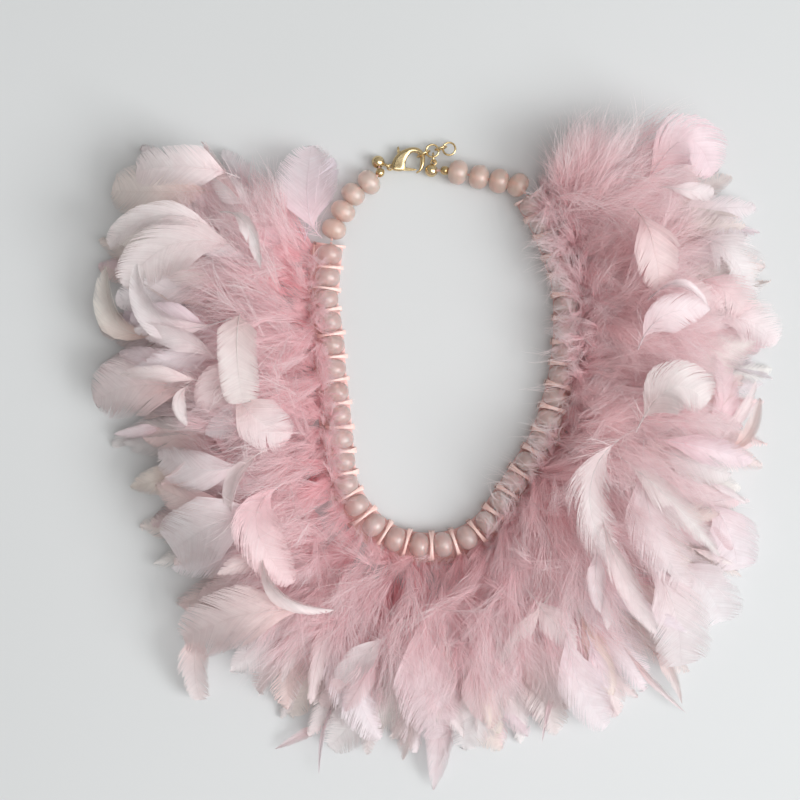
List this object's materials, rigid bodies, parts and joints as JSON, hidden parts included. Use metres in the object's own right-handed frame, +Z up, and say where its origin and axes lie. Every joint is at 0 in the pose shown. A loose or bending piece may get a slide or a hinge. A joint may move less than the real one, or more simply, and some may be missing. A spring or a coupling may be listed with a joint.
{
  "type": "feather boa collar",
  "caption": "Feather boa collar: beads strung on a cord and lashed to a ribbon that carries curled petal feathers and down, with bare strand ends and a claw clasp on a short chain.",
  "frame": {"origin": "centre of the collar's outline, on the surface it lies on", "axes": "+Z up out of the surface, on the feathered and beaded face; +Y from the front of the collar towards the clasp; +X to the right with the clasp away from the viewer"},
  "size_m": [0.2732, 0.2688, 0.04],
  "materials": {
    "beads": "frosted translucent dusty pink, matt with a soft sheen",
    "feathers": "dyed pale pink feather: smooth satin vanes and soft down",
    "thread": "glossy satin floss",
    "ribbon": "matt woven grosgrain ribbon",
    "cord": "twisted beading cord",
    "gold": "polished gold-plated brass"
  },
  "bodies": {
    "collar": {"bead_05": "beads", "bead_06": "beads", "bead_07": "beads", "bead_08": "beads", "bead_09": "beads", "bead_10": "beads", "bead_11": "beads", "bead_12": "beads", "bead_13": "beads", "bead_14": "beads", "bead_15": "beads", "bead_16": "beads", "bead_17": "beads", "bead_18": "beads", "bead_19": "beads", "bead_20": "beads", "bead_21": "beads", "bead_22": "beads", "bead_23": "beads", "bead_24": "beads", "bead_25": "beads", "bead_26": "beads", "bead_27": "beads", "bead_28": "beads", "bead_29": "beads", "bead_30": "beads", "bead_31": "beads", "bead_32": "beads", "bead_33": "beads", "bead_34": "beads", "bead_35": "beads", "bead_36": "beads", "bead_37": "beads", "cord_collar": "cord", "backing_ribbon": "ribbon", "lashing_thread": "thread", "feathers_left": "feathers", "feathers_front": "feathers", "feathers_right": "feathers"},
    "back_strand": {"bead_01": "beads", "bead_02": "beads", "bead_03": "beads", "bead_04": "beads", "bead_38": "beads", "bead_39": "beads", "bead_40": "beads", "bead_41": "beads", "cord_back_left": "cord", "cord_back_right": "cord", "spacer_ball_left": "gold", "spacer_ball_right": "gold", "knot_cover_left": "gold", "knot_cover_right": "gold", "clasp_body": "gold", "chain_ring_1": "gold", "chain_ring_2": "gold", "chain_ring_3": "gold"},
    "lever": {"clasp_lever": "gold"},
    "tail_link": {"chain_ring_4": "gold"},
    "tail_end": {"chain_ring_5": "gold"}
  },
  "joints": [
    {"name": "back_strand_lift", "type": "hinge", "parent": "collar", "child": "back_strand", "pos_m": [-0.0426, 0.0838, 0.00617], "axis": [0.9721, 0.2348, 0], "range_deg": [0, 45]},
    {"name": "clasp_lever_turn", "type": "hinge", "parent": "back_strand", "child": "lever", "pos_m": [-0.0158, 0.1164, 0.0033], "axis": [0, 0, 1], "range_deg": [0, 25], "stiffness_Nm_per_rad": 0.004, "springref_deg": -17.19},
    {"name": "tail_link_swing", "type": "hinge", "parent": "back_strand", "child": "tail_link", "pos_m": [0.00001, 0.12115, 0.0033], "axis": [0, 0, 1], "range_deg": [-15, 15]},
    {"name": "tail_end_swing", "type": "hinge", "parent": "tail_link", "child": "tail_end", "pos_m": [0.0032, 0.1221, 0.0033], "axis": [0, 0, 1], "range_deg": [-15, 15]}
  ]
}
